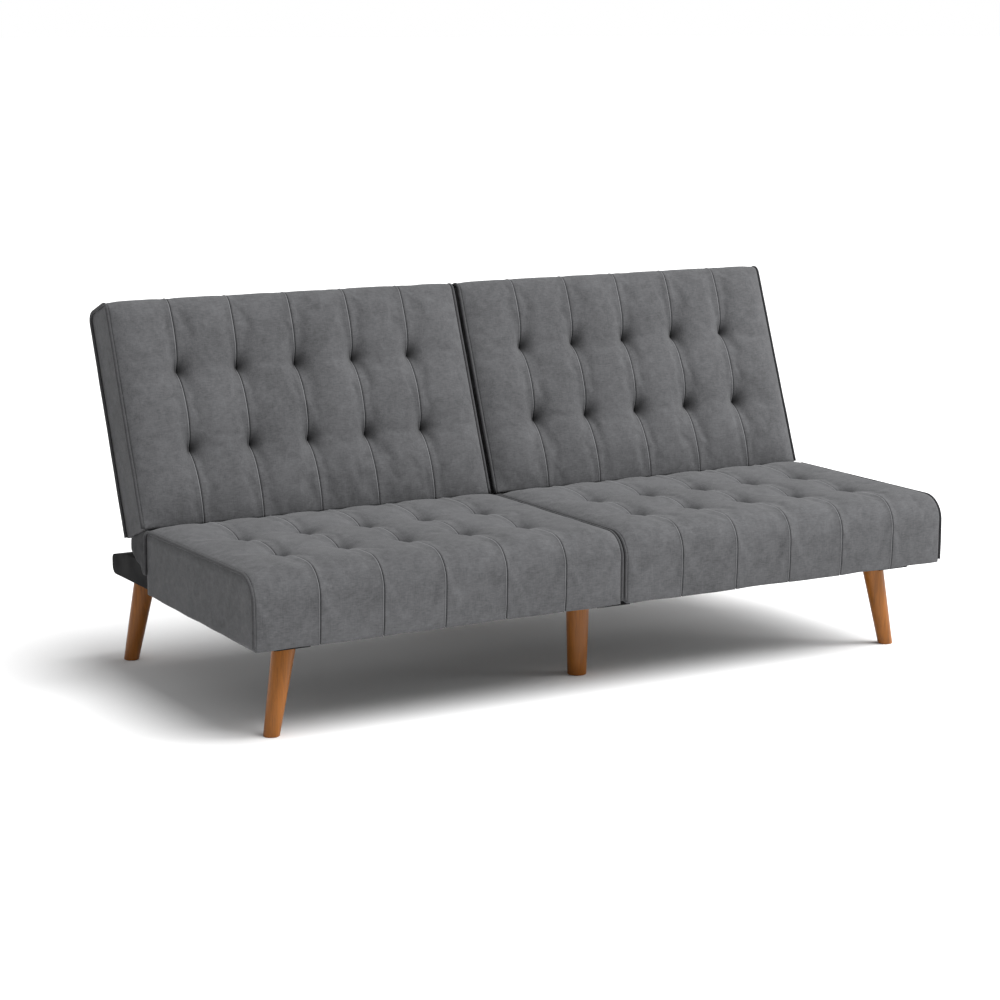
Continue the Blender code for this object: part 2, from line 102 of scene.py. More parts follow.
class FUTON_PG_cushions(bpy.types.PropertyGroup):
    """Shape of the sewn channels and tufts."""

    channels: IntProperty(
        name="Channels", description="Sewn channels across each cushion", default=6, min=1
    )
    cell: FloatProperty(
        name="Cell", description="Size of the cloth's mesh cells", default=0.0072, unit="LENGTH"
    )
    crown: FloatProperty(
        name="Crown", description="Rise of a channel over its piping", default=0.0135, unit="LENGTH"
    )
    seam_rise: FloatProperty(
        name="Seam Rise",
        description="Share of the crown that a seam keeps away from the tufts",
        default=0.68,
        subtype="FACTOR",
    )
    tuft_depth: FloatProperty(
        name="Tuft Depth", description="Broad pull of a tuft on its seam", default=0.019, unit="LENGTH"
    )
    tuft_reach: FloatProperty(
        name="Tuft Reach", description="How far a tuft pulls its seam", default=0.029, unit="LENGTH"
    )
    dimple: FloatProperty(
        name="Dimple", description="Extra depth of the funnel round a tuft", default=0.017, unit="LENGTH"
    )
    dimple_reach: FloatProperty(
        name="Dimple Reach", description="Radius of the funnel round a tuft", default=0.014, unit="LENGTH"
    )
    settle: FloatProperty(
        name="Settle",
        description="Share of the cloth solver's shape that the cushion takes",
        default=0.55,
        subtype="FACTOR",
    )
    groove: FloatProperty(
        name="Groove", description="Depth of the stitched crease", default=0.0024, unit="LENGTH"
    )
    pressure: FloatProperty(
        name="Pressure", description="Pressure of the filling in the cloth solver", default=3.5
    )
    slack: FloatProperty(
        name="Slack", description="Spare cloth over the filling", default=0.012, subtype="FACTOR"
    )


class FUTON_PG_finishes(bpy.types.PropertyGroup):
    """Colours of the sofa's finishes."""

    fabric: FloatVectorProperty(
        name="Fabric",
        description="Mid grey of the cover cloth",
        subtype="COLOR",
        default=(0.071, 0.0715, 0.0745),
    )
    # Used only for the right-hand outer piping, which is painted near black as the shade on the sofa's right
    # side.
    welt: FloatVectorProperty(
        name="Welt",
        description="Dark grey of the piping",
        subtype="COLOR",
        default=(0.022, 0.022, 0.024),
    )
    stain: FloatVectorProperty(
        name="Stain",
        description="Amber stain of the legs",
        subtype="COLOR",
        default=(0.275, 0.090, 0.0065),
    )
    paint: FloatVectorProperty(
        name="Paint",
        description="Black paint of the rails",
        subtype="COLOR",
        default=(0.003, 0.003, 0.0034),
    )


class FUTON_PG_stage(bpy.types.PropertyGroup):
    """Camera, floor and light."""

    focal: FloatProperty(name="Focal Length", description="Lens in millimetres", default=91.925)
    yaw: FloatProperty(
        name="Yaw", description="Turn of the camera from +Y to +X", default=0.53233, subtype="ANGLE"
    )
    pitch: FloatProperty(
        name="Pitch", description="Downward tilt of the camera", default=0.18674, subtype="ANGLE"
    )
    key: FloatProperty(name="Key", description="Strength of the overhead light", default=4.8)
    side: FloatProperty(name="Side", description="Power of the right light", default=80.0, unit="POWER")
    ambient: FloatProperty(name="Ambient", description="Strength of the room's light", default=0.40)


CAMERA_PLACE = (-2.85638, -4.77385, 1.39697)
CAMERA_ROLL = 0.00299
KEY_DIRECTION = (0.42, -0.38, 1.0)
KEY_SPREAD = math.radians(54)
SIDE_PLACE = (3.4, -1.8, 1.7)
SIDE_TARGET = (0.2, 0.1, 0.4)
SIDE_SIZE = 1.6
FLOOR_SIZE = 150


def settings(name):
    return getattr(bpy.context.scene, "futon_" + name)


# Shader nodes.


class Finish:
    """A material under construction: a Principled shader and helpers that feed it."""

    def __init__(self, name):
        self.material = bpy.data.materials.new(name)
        self.material.use_nodes = True
        self.tree = self.material.node_tree
        self.shader = self.tree.nodes["Principled BSDF"]
        self.place = self.node("ShaderNodeTexCoord").outputs["Object"]

    def node(self, kind, **values):
        made = self.tree.nodes.new(kind)
        for key, value in values.items():
            if key in made.inputs:
                made.inputs[key].default_value = value
            else:
                setattr(made, key, value)
        return made

    def link(self, output, target):
        self.tree.links.new(output, target)

    def mapped(self, scale):
        mapping = self.node("ShaderNodeMapping")
        mapping.inputs["Scale"].default_value = scale
        self.link(self.place, mapping.inputs["Vector"])
        return mapping.outputs["Vector"]

    def noise(self, scale, detail=2.0, roughness=0.5, stretch=(1, 1, 1), distortion=0.0):
        texture = self.node(
            "ShaderNodeTexNoise", Scale=scale, Detail=detail, Roughness=roughness, Distortion=distortion
        )
        self.link(self.mapped(stretch), texture.inputs["Vector"])
        return texture.outputs["Fac"]

    def ramp(self, factor, low, high, start=0.0, end=1.0):
        spread = self.node("ShaderNodeMapRange")
        for socket, value in zip(("From Min", "From Max", "To Min", "To Max"), (start, end, low, high)):
            spread.inputs[socket].default_value = value
        self.link(factor, spread.inputs["Value"])
        return spread.outputs["Result"]

    def math(self, operation, first, second):
        made = self.node("ShaderNodeMath", operation=operation)
        for socket, value in zip(made.inputs, (first, second)):
            if isinstance(value, (int, float)):
                socket.default_value = value
            else:
                self.link(value, socket)
        return made.outputs[0]

    def mix(self, factor, first, second):
        made = self.node("ShaderNodeMix", data_type="RGBA")
        colour_sockets = (made.inputs[0], made.inputs[6], made.inputs[7])
        for socket, value in zip(colour_sockets, (factor, first, second)):
            if isinstance(value, (int, float)):
                socket.default_value = value
            elif isinstance(value, tuple):
                socket.default_value = (*value, 1.0)
            else:
                self.link(value, socket)
        return made.outputs[2]

    def bump(self, height, strength, distance, under=None):
        made = self.node("ShaderNodeBump", Strength=strength, Distance=distance)
        self.link(height, made.inputs["Height"])
        if under:
            self.link(under, made.inputs["Normal"])
        return made.outputs["Normal"]

    def set(self, **values):
        for key, value in values.items():
            socket = self.shader.inputs[key.replace("_", " ")]
            if isinstance(value, (int, float)):
                socket.default_value = value
            elif isinstance(value, tuple):
                socket.default_value = (*value, 1.0) if len(value) == 3 else value
            else:
                self.link(value, socket)
        return self.material


def shade(colour, factor):
    return tuple(channel * factor for channel in colour)


def woven(name, colour, mottle=1.0, sheen=0.16):
    """Short-nap woven cloth: soft blotches, fine slubs both ways, and a nap that catches light."""
    finish = Finish(name)
    blotches = finish.ramp(finish.noise(7.0, 3.0, 0.55), -0.11 * mottle, 0.11 * mottle, 0.3, 0.7)
    clouds = finish.noise(42.0, 4.0, 0.6, distortion=0.6)
    clouds = finish.ramp(clouds, -0.15 * mottle, 0.15 * mottle, 0.3, 0.7)
    weft = finish.ramp(finish.noise(1.0, 3.0, 0.6, (70, 900, 900)), -0.16, 0.16, 0.3, 0.7)
    warp = finish.ramp(finish.noise(1.0, 3.0, 0.6, (900, 70, 70)), -0.12, 0.12, 0.3, 0.7)
    flecks = finish.ramp(finish.noise(1.0, 3.0, 0.65, (110, 260, 260)), -0.13, 0.13, 0.3, 0.7)
    light = finish.math("ADD", finish.math("ADD", blotches, clouds), finish.math("ADD", weft, warp))
    light = finish.math("ADD", light, flecks)
    tone = finish.ramp(light, 0.0, 1.0, -0.5, 0.5)
    base = finish.mix(tone, shade(colour, 0.55), shade(colour, 1.45))
    # Painted shade and highlight from the 'seam' mark: the creases and tuft funnels are darkened towards
    # near black, and the ridge beside each seam is painted lighter as if lit.
    crease = finish.node("ShaderNodeAttribute", attribute_name="seam")
    depth = finish.ramp(crease.outputs["Fac"], 0.0, 0.95, 0.05, 0.75)
    edge = finish.ramp(crease.outputs["Fac"], 0.75, 0.0, -0.8, 0.0)
    base = finish.mix(edge, finish.mix(depth, base, shade(colour, 0.07)), shade(colour, 2.4))
    fine = finish.noise(1500.0, 2.0, 0.7)
    threads = finish.math("ADD", weft, warp)
    normal = finish.bump(threads, 0.35, 0.0006)
    normal = finish.bump(fine, 0.30, 0.0004, normal)
    cool = tuple(min(1.0, 0.5 + 2.2 * channel) for channel in colour)
    return finish.set(
        Base_Color=base,
        Roughness=0.92,
        Specular_IOR_Level=0.18,
        Sheen_Weight=sheen,
        Sheen_Roughness=0.45,
        Sheen_Tint=cool,
        Normal=normal,
    )


def oiled_wood(name, colour):
    """Stained, satin-lacquered leg: straight grain up the leg with darker pores."""
    finish = Finish(name)
    grain = finish.noise(1.0, 5.0, 0.62, (95, 95, 5.5), 1.4)
    bands = finish.noise(1.0, 2.0, 0.5, (34, 34, 2.0), 0.8)
    pores = finish.ramp(finish.noise(1.0, 3.0, 0.7, (520, 520, 16)), 0.0, 1.0, 0.52, 0.72)
    figure = finish.ramp(grain, 0.0, 0.65, 0.32, 0.68)
    tone = finish.math("ADD", figure, finish.ramp(bands, 0.0, 0.35, 0.3, 0.7))
    base = finish.mix(tone, shade(colour, 0.62), shade(colour, 1.22))
    base = finish.mix(finish.math("MULTIPLY", pores, 0.35), base, shade(colour, 0.35))
    normal = finish.bump(pores, 0.12, 0.0004)
    rough = finish.ramp(grain, 0.34, 0.46)
    return finish.set(
        Base_Color=base,
        Roughness=rough,
        Specular_IOR_Level=0.30,
        Coat_Weight=0.08,
        Coat_Roughness=0.3,
        Normal=normal,
    )


def raw_wood(name, light, dark, stretch):
    finish = Finish(name)
    grain = finish.ramp(finish.noise(1.0, 5.0, 0.6, stretch, 1.2), 0.0, 1.0, 0.32, 0.68)
    base = finish.mix(grain, dark, light)
    return finish.set(Base_Color=base, Roughness=0.68, Normal=finish.bump(grain, 0.2, 0.0006))


def painted(name, colour, roughness, metallic=0.0, grain=260.0, gloss=0.25):
    """Paint or coating with a light orange peel and a few duller patches."""
    finish = Finish(name)
    wear = finish.ramp(finish.noise(18.0, 4.0, 0.6), 0.0, 1.0, 0.35, 0.7)
    base = finish.mix(wear, shade(colour, 0.85), shade(colour, 1.5))
    rough = finish.ramp(wear, roughness - 0.06, roughness + 0.08)
    normal = finish.bump(finish.noise(grain, 2.0, 0.6), 0.12, 0.0005)
    return finish.set(
        Base_Color=base, Roughness=rough, Metallic=metallic, Specular_IOR_Level=gloss, Normal=normal
    )


MATERIALS = {}


def make_materials():
    colours = settings("finishes")
    fabric, welt = tuple(colours.fabric), tuple(colours.welt)
    MATERIALS["fabric"] = woven("grey_woven_fabric", fabric)
    # The right-hand outer piping gets a near-black copy of the piping as painted shade; the other pipings
    # stay grey.
    MATERIALS["welt"] = woven("welt_painted_in_shade", welt, 0.6, 0.12)
    MATERIALS["light_welt"] = woven("grey_welt", shade(fabric, 0.68), 0.6, 0.12)
    # The hinge cloth uses the cover fabric darkened to 0.55 as painted shade, for the shadow it lies in.
    MATERIALS["gather"] = woven("shaded_fabric", shade(fabric, 0.55), 0.8, 0.06)
    MATERIALS["lining"] = woven("black_lining", (0.012, 0.012, 0.013), 0.4, 0.05)
    MATERIALS["leg"] = oiled_wood("amber_stained_wood", tuple(colours.stain))
    MATERIALS["paint"] = painted("black_rail_paint", tuple(colours.paint), 0.62, gloss=0.06)
    MATERIALS["black_steel"] = painted("black_coated_steel", (0.018, 0.018, 0.019), 0.42, 0.4, 420.0)
    MATERIALS["zinc"] = painted("zinc_plated_steel", (0.42, 0.42, 0.43), 0.36, 1.0, 600.0)
    MATERIALS["pine"] = raw_wood("sawn_pine", (0.66, 0.47, 0.26), (0.44, 0.28, 0.13), (6, 70, 70))
    MATERIALS["board"] = raw_wood("plywood", (0.60, 0.43, 0.25), (0.46, 0.31, 0.17), (9, 60, 60))


# Shared shaping tools.


def node_span(node, space):
    """Lowest and highest corner of a CAD node in the given frame."""
    back = space.inverted()
    corners = np.array([back @ vert.co for vert in frame["nodes"][node].data.vertices])
    return Vector(corners.min(0)), Vector(corners.max(0))


def new_piece(name, mesh, material):
    for polygon in mesh.polygons:
        polygon.use_smooth = True
    mesh.materials.clear()
    mesh.materials.append(MATERIALS[material])
    obj = bpy.data.objects.new(name, mesh)
    bpy.context.scene.collection.objects.link(obj)
    return obj


def mesh_from(shape, name):
    mesh = bpy.data.meshes.new(name)
    shape.to_mesh(mesh)
    shape.free()
    return mesh


def block(low, high):
    shape = bmesh.new()
    bmesh.ops.create_cube(shape, size=1.0)
    bmesh.ops.scale(shape, vec=high - low, verts=shape.verts)
    bmesh.ops.translate(shape, vec=(low + high) / 2, verts=shape.verts)
    return shape


def round_edge(shape, y, z, radius, segments):
    """Rounds the edge that runs along X at this y and z."""
    edges = [
        edge
        for edge in shape.edges
        if all(abs(v.co.y - y) < TINY and abs(v.co.z - z) < TINY for v in edge.verts)
    ]
    bmesh.ops.bevel(
        shape, geom=edges, offset=radius, segments=segments, profile=0.5, affect="EDGES", material=-1
    )


def slice_at(shape, axis, places):
    """Cuts the whole shape across an axis at each place."""
    direction = Vector((0, 0, 0))
    direction[axis] = 1.0
    for place in places:
        geometry = shape.verts[:] + shape.edges[:] + shape.faces[:]
        bmesh.ops.bisect_plane(
            shape, geom=geometry, dist=TINY, plane_co=direction * place, plane_no=direction
        )


def steps_between(low, high, size):
    count = max(1, round((high - low) / size))
    return [low + (high - low) * step / count for step in range(1, count)]


def carve(shape, low, high):
    """Takes the box between low and high out of the shape."""
    body = bpy.data.objects.new("body", mesh_from(shape, "body"))
    cutter = bpy.data.objects.new("cutter", mesh_from(block(low, high), "cutter"))
    for obj in (body, cutter):
        bpy.context.scene.collection.objects.link(obj)
    cut = body.modifiers.new("cut", "BOOLEAN")
    cut.object = cutter
    cut.solver = "EXACT"
    graph = bpy.context.evaluated_depsgraph_get()
    carved = bmesh.new()
    carved.from_mesh(bpy.data.meshes.new_from_object(body.evaluated_get(graph)))
    for obj in (body, cutter):
        bpy.data.objects.remove(obj, do_unlink=True)
    return carved


# Cushions.

# A share is a part of the crown, and a reach is the distance in which the filling builds up.
CHANNEL_WIDTH = 0.1417
CHANNEL_RISE_REACH = 0.060
CHEEK_REACH = 0.022
NOSE_SHARE = 0.60
NOSE_REACH = 0.030
SEAT_HEM_REACH = 0.022
SEAT_HEM_START = 0.004
SEAT_REAR_REACH = 0.016
BACK_REAR_SHARE = 0.12
BACK_TOP_SHARE = 0.35
BACK_TOP_GAIN = 0.90
BACK_TOP_REACH = 0.028
BACK_FOOT_REACH = 0.026
BACK_REAR_REACH = 0.05
UNEVEN_SIZE = 0.09  # size and height of the broad unevenness of the filling
UNEVEN_RISE = 0.0016
TUFT_FACE = 0.98  # least cosine between the skin and the tufted face
TUFT_GAIN = 1.05
TUFT_BLUNT = 0.004  # rounds the bottom of a tuft's broad pull
TUFT_VARIATION = 0.22
SEAM_SPREAD = 0.016
HEM_WAVE_SIZE = 0.08
HEM_WAVE_RISE = 0.0020
RIM_CREASE = 0.7
RIM_ANGLE = math.radians(60)
RIM_MATCH = 5e-4
DRAW_FRAMES = 8  # frames in which the seams are drawn to their places
CLOTH_FRAMES = 20
MOST_OUT = 0.009  # how far the cloth solver may move a point from the sewn shape
MOST_IN = 0.010
MOST_ASIDE = 0.006
STITCH_HALF_WIDTH = 0.0019
STITCH_RIDGE = 0.4
STITCH_MATCH = 0.0006
STITCH_REACH = 0.006
# how strongly the ridge beside a seam is marked for its painted highlight
LIT_SIDE = 0.8
# strength of the painted shade that darkens the cloth in a tuft's funnel
TUFT_SHADE = 0.85
TUFT_STRETCH = 1.3  # a tuft's funnel is this much longer along its seam


class Cushion:
    """One channelled cushion, shaped in its own frame before it is placed.

    Its belt is the skin that runs along X: face, rounded edges, top and rear. Its two cheeks
    are the side panels, which the piping joins to the belt.
    """

    def __init__(self, node, side, space, radii, tuft_axis, tufts, seed):
        self.space = space
        self.low, self.high = node_span(node, space)
        self.front_r, self.rear_r = radii
        self.side = side
        self.tuft_axis = tuft_axis
        self.tufts = tufts
        self.seed = seed
        piping = node.replace("cover", "piping")
        welts = [sum(node_span(f"{piping}_{edge}", space), Vector()) / 2 for edge in EDGES]
        inner, outer = (middle.x for middle in welts)
        count = settings("cushions").channels
        self.seams = [inner + (outer - inner) * step / count for step in range(1, count)]
        self.low.x -= NESTLE
        self.high.x += NESTLE

    def outward(self, place):
        """Direction out of the belt's skin at a point of the plain block."""
        y, z = place.y, place.z
        top = self.high.z
        if y < self.low.y + self.front_r and z > top - self.front_r:
            centre = Vector((0, self.low.y + self.front_r, top - self.front_r))
        elif y > self.high.y - self.rear_r and z > top - self.rear_r:
            centre = Vector((0, self.high.y - self.rear_r, top - self.rear_r))
        elif y < self.low.y + NEAR:
            return Vector((0, -1, 0))
        elif y > self.high.y - NEAR:
            return Vector((0, 1, 0))
        elif z > top - NEAR:
            return Vector((0, 0, 1))
        else:
            return Vector((0, 0, -1))
        return (Vector((0, y, z)) - centre).normalized()

    def wobble(self, place, size, amount):
        point = Vector((place.x, place.y, place.z)) / size + Vector((self.seed * 7.3, 1.7, 4.1))
        return noise.noise(point) * amount


def ease(distance, reach):
    """From 0 at an edge towards 1 well inside it."""
    return 1.0 - math.exp(-max(0.0, distance) / reach)


def seat_fullness(cushion, place):
    """Share of the crown that the filling gives a seat's belt at a point."""
    if cushion.outward(place).y > 0.5 or cushion.outward(place).z < -0.5:
        return 0.0
    front = NOSE_SHARE + (1 - NOSE_SHARE) * ease(place.y - cushion.low.y, NOSE_REACH)
    bottom = ease(place.z - cushion.low.z + SEAT_HEM_START, SEAT_HEM_REACH)
    rear = ease(cushion.high.y - place.y, SEAT_REAR_REACH)
    return front * bottom * rear


def back_fullness(cushion, place):
    """Share of the crown that the filling gives a back's belt at a point."""
    outward = cushion.outward(place)
    from_foot, from_top = place.z - cushion.low.z, cushion.high.z - place.z
    if outward.z < -0.5:
        return 0.0
    if outward.y > 0.5:
        return BACK_REAR_SHARE * ease(from_foot, BACK_REAR_REACH) * ease(from_top, BACK_REAR_REACH)
    if outward.y > -0.5:
        return BACK_TOP_SHARE
    top = BACK_TOP_SHARE + BACK_TOP_GAIN * ease(from_top, BACK_TOP_REACH)
    return ease(from_foot, BACK_FOOT_REACH) * top


def tuft_pull(cushion, place):
    """Share of the full tuft depth that pulls a seam at a point of the tufted face."""
    face = Vector((0, 0, 1)) if cushion.tuft_axis == 1 else Vector((0, -1, 0))
    if cushion.outward(place).dot(face) < TUFT_FACE:
        return 0.0
    reach = settings("cushions").tuft_reach
    at = place[cushion.tuft_axis]
    gaps = (math.hypot(at - tuft, TUFT_BLUNT) for tuft in cushion.tufts)
    return max(TUFT_GAIN * math.exp(-gap / reach) for gap in gaps)


def cheek_distance(cushion, place):
    return min(place.x - cushion.low.x, cushion.high.x - place.x)


def stuffed_shape(cushion, fullness, place):
    """Where a belt point stands when filled and stitched."""
    values = settings("cushions")
    outward = cushion.outward(place)
    full = fullness(cushion, place) * ease(cheek_distance(cushion, place), CHEEK_REACH)
    gap = min(abs(place.x - seam) for seam in cushion.seams)
    channel = min(1.0, gap / CHANNEL_RISE_REACH)
    puff = values.seam_rise + (1 - values.seam_rise) * math.sqrt(channel * (2 - channel))
    rise = values.crown * full * puff + cushion.wobble(place, UNEVEN_SIZE, UNEVEN_RISE) * full
    seam = min(range(len(cushion.seams)), key=lambda index: abs(place.x - cushion.seams[index]))
    spot = Vector((seam * 3.1, cushion.seed * 1.9, place[cushion.tuft_axis] * 6))
    vary = 1.0 + TUFT_VARIATION * noise.noise(spot)
    pull = tuft_pull(cushion, place) * values.tuft_depth * vary
    spread = math.exp(-((gap / SEAM_SPREAD) ** 1.25))
    return place + outward * (rise - pull * spread)


def build_cage(cushion, recess):
    """The plain block, rounded and cut into even cells, with a column of points on each seam."""
    shape = block(cushion.low, cushion.high)
    size = settings("cushions").cell
    arc = round(cushion.front_r * math.pi / 2 / size)
    rear_arc = max(3, round(cushion.rear_r * math.pi / 2 / size))
    round_edge(shape, cushion.low.y, cushion.high.z, cushion.front_r, arc)
    round_edge(shape, cushion.high.y, cushion.high.z, cushion.rear_r, rear_arc)
    deep = [cushion.low.y + cushion.front_r, cushion.high.y - cushion.rear_r]
    tall = [cushion.low.z, cushion.high.z - max(cushion.front_r, cushion.rear_r)]
    if recess:
        shape = carve(shape, *recess)
        tall.insert(1, recess[1].z)
        slice_at(shape, 1, [cushion.low.y + APRON_DEPTH])
    for axis, stops in ((1, deep), (2, tall)):
        stops = sorted([*stops, *(cushion.tufts if axis == cushion.tuft_axis else ())])
        slice_at(shape, axis, stops)
        for low, high in zip(stops, stops[1:]):
            slice_at(shape, axis, steps_between(low, high, size))
    slice_at(shape, 0, cushion.seams)
    across = [e for e in shape.edges if abs(e.verts[0].co.x - e.verts[1].co.x) > 0.05]
    cuts = round(CHANNEL_WIDTH / size) - 1
    bmesh.ops.subdivide_edges(shape, edges=across, cuts=cuts, use_grid_fill=True)
    bmesh.ops.remove_doubles(shape, verts=shape.verts, dist=TINY)
    bmesh.ops.recalc_face_normals(shape, faces=shape.faces)
    crease = shape.edges.layers.float.new("crease_edge")
    for edge in shape.edges:
        if edge.calc_face_angle(0.0) > RIM_ANGLE:
            edge[crease] = RIM_CREASE
    return shape


def is_held(cushion, place):
    """Points that staples or stitches hold: piping lines, seams, rears, hem and all below it."""
    outward = cushion.outward(place)
    if outward.z < -0.5 or outward.y > 0.5 or place.z < cushion.low.z + TINY:
        return True
    if cheek_distance(cushion, place) < TINY:
        rim = min(place.y - cushion.low.y, cushion.high.y - place.y, cushion.high.z - place.z)
        return rim < NEAR or on_rounded_rim(cushion, place)
    return min(abs(place.x - seam) for seam in cushion.seams) < TINY


def on_rounded_rim(cushion, place):
    """True for a cheek point on one of the two rounded corners' arcs."""
    for radius, y in ((cushion.front_r, cushion.low.y), (cushion.rear_r, cushion.high.y)):
        inward = 1 if y == cushion.low.y else -1
        centre = Vector((0, y + inward * radius, cushion.high.z - radius))
        reach = (Vector((0, place.y, place.z)) - centre).length
        beyond = (place.y - centre.y) * inward <= TINY and place.z >= centre.z - TINY
        if beyond and abs(reach - radius) < RIM_MATCH:
            return True
    return False


def inflate(obj, held, plain, filled):
    """Cloth solver: pressure fills the cover while the seams are drawn to their places."""
    values = settings("cushions")
    group = obj.vertex_groups.new(name="held")
    group.add(np.flatnonzero(held).tolist(), 1.0, "REPLACE")
    obj.shape_key_add(name="plain")
    stitched = obj.shape_key_add(name="stitched")
    target = np.where(held[:, None], filled, plain)
    stitched.data.foreach_set("co", target.astype(np.float32).ravel())
    stitched.value = 0.0
    stitched.keyframe_insert("value", frame=1)
    stitched.value = 1.0
    stitched.keyframe_insert("value", frame=DRAW_FRAMES)
    cloth = obj.modifiers.new("cloth", "CLOTH")
    cloth.settings.quality = 5
    cloth.settings.mass = 0.25
    cloth.settings.air_damping = 3.0
    cloth.settings.tension_stiffness = 18
    cloth.settings.compression_stiffness = 18
    cloth.settings.shear_stiffness = 6
    cloth.settings.bending_stiffness = 0.6
    cloth.settings.vertex_group_mass = "held"
    cloth.settings.use_pressure = True
    cloth.settings.uniform_pressure_force = values.pressure
    cloth.settings.shrink_min = -values.slack
    cloth.settings.effector_weights.gravity = 0.0
    cloth.collision_settings.use_collision = False
    cloth.collision_settings.use_self_collision = False
    cloth.point_cache.frame_start = 1
    cloth.point_cache.frame_end = CLOTH_FRAMES
    scene = bpy.context.scene
    for step in range(1, CLOTH_FRAMES + 1):
        scene.frame_set(step)
    solved = obj.evaluated_get(bpy.context.evaluated_depsgraph_get()).to_mesh()
    points = np.empty(len(solved.vertices) * 3, np.float32)
    solved.vertices.foreach_get("co", points)
    obj.modifiers.remove(cloth)
    obj.animation_data_clear()
    obj.data.shape_keys.animation_data_clear()
    obj.shape_key_clear()
    obj.vertex_groups.remove(group)
    scene.frame_set(1)
    return points.reshape(-1, 3)


def capped(points, base, outwards):
    """Limits how far points stand from base along outwards, and sideways."""
    moved = points - base
    along = (moved * outwards).sum(1)
    sideways = moved - outwards * along[:, None]
    reach = np.linalg.norm(sideways, axis=1, keepdims=True)
    sideways *= np.minimum(1.0, MOST_ASIDE / np.maximum(reach, 1e-9))
    along = np.clip(along, -MOST_IN, MOST_OUT)
    return base + outwards * along[:, None] + sideways


def stitch_creases(mesh, cushion):
    """Cuts a narrow crease along each seam but the rear's, and marks it for the material: painted shade in
    the crease and a painted highlight on the ridge beside it.
    """
    shape = bmesh.new()
    shape.from_mesh(mesh)
    groove = settings("cushions").groove
    outward = shape.verts.layers.float_vector["outward"]
    for seam in cushion.seams:
        for offset in (-STITCH_HALF_WIDTH, STITCH_HALF_WIDTH):
            near = [f for f in shape.faces if abs(f.calc_center_median().x - seam) < STITCH_REACH]
            edges = {edge for face in near for edge in face.edges}
            verts = {vert for face in near for vert in face.verts}
            bmesh.ops.bisect_plane(
                shape,
                geom=[*verts, *edges, *near],
                dist=TINY,
                plane_co=(seam + offset, 0, 0),
                plane_no=(1, 0, 0),
            )
    shape.normal_update()
    mark = shape.verts.layers.float.new("seam")
    tuft_painted_shade = shape.verts.layers.float["tuft_painted_shade"]
    moved = {}
    for vert in shape.verts:
        # the seam mark starts from the tufts' painted shade
        vert[mark] = vert[tuft_painted_shade]
        if vert[outward].length < 0.5 or vert[outward].y > 0.7:
            continue
        gap = min((vert.co.x - seam for seam in cushion.seams), key=abs)
        if abs(gap) < STITCH_MATCH:
            # painted shade in the crease
            vert[mark] = 1.0
            moved[vert] = vert.co - vert.normal * groove
        elif abs(gap + STITCH_HALF_WIDTH) < STITCH_MATCH:
            # painted highlight on the ridge beside the seam
            vert[mark] = vert[mark] - LIT_SIDE
            moved[vert] = vert.co + vert.normal * groove * STITCH_RIDGE
    for vert, place in moved.items():
        vert.co = place
    for label in ("plain", "outward"):
        shape.verts.layers.float_vector.remove(shape.verts.layers.float_vector[label])
    shape.verts.layers.float.remove(shape.verts.layers.float["tuft_painted_shade"])
    shape.to_mesh(mesh)
    shape.free()


def make_cushion(name, cushion, fullness, recess=None):
    """Builds, fills, creases and places one cushion."""
    shape = build_cage(cushion, recess)
    mesh = mesh_from(shape, name)
    obj = new_piece(name, mesh, "fabric")
    count = len(mesh.vertices)
    plain = np.empty(count * 3, np.float32)
    mesh.vertices.foreach_get("co", plain)
    plain = plain.reshape(-1, 3)
    filled = plain.copy()
    outwards = np.zeros_like(plain)
    held = np.zeros(count, bool)
    belt = np.zeros(count, bool)
    for index in range(count):
        place = Vector(plain[index].tolist())
        held[index] = is_held(cushion, place)
        edge = cheek_distance(cushion, place)
        inside = recess and place.z < RECESS_TOP + TINY and hidden_under(cushion, place)
        belt[index] = edge > TINY and not inside and cushion.outward(place).z > -0.5
        if belt[index]:
            outwards[index] = cushion.outward(place)
            filled[index] = stuffed_shape(cushion, fullness, place)
        elif edge <= TINY:
            middle = (cushion.low.x + cushion.high.x) / 2
            outwards[index] = (math.copysign(1.0, place.x - middle), 0, 0)
        if place.z < cushion.low.z + TINY and recess and not inside:
            rear = (place.y - cushion.low.y) / (cushion.high.y - cushion.low.y)
            wave = cushion.wobble(Vector((place.x, place.y, 0)), HEM_WAVE_SIZE, HEM_WAVE_RISE)
            filled[index, 2] += HEM_DROP + (HEM_LIFT - HEM_DROP) * rear + wave
    start = np.where(held[:, None], plain, 0.5 * plain + 0.5 * filled)
    mesh.vertices.foreach_set("co", start.astype(np.float32).ravel())
    solved = inflate(obj, held, start, filled)
    points = capped(solved, filled, outwards)
    points = filled + (points - filled) * settings("cushions").settle
    points = np.where(held[:, None], filled, points)
    mesh.vertices.foreach_set("co", points.astype(np.float32).ravel())
    for label, values in (("plain", plain), ("outward", outwards * belt[:, None])):
        mark = mesh.attributes.new(label, "FLOAT_VECTOR", "POINT")
        mark.data.foreach_set("vector", values.astype(np.float32).ravel())
    mesh.update()
    refine(obj)
    pinch_tufts(obj.data, cushion)
    stitch_creases(obj.data, cushion)
    obj.data.transform(cushion.space)
    obj.data.update()
    return obj


def refine(obj):
    """One smooth subdivision, which carries the marks of the cage along."""
    finer = obj.modifiers.new("finer", "SUBSURF")
    finer.levels = finer.render_levels = 1
    mesh = bpy.data.meshes.new_from_object(obj.evaluated_get(bpy.context.evaluated_depsgraph_get()))
    obj.modifiers.remove(finer)
    coarse, obj.data = obj.data, mesh
    bpy.data.meshes.remove(coarse)


def marked(mesh, label):
    values = np.empty(len(mesh.vertices) * 3, np.float32)
    mesh.attributes[label].data.foreach_get("vector", values)
    return values.reshape(-1, 3)


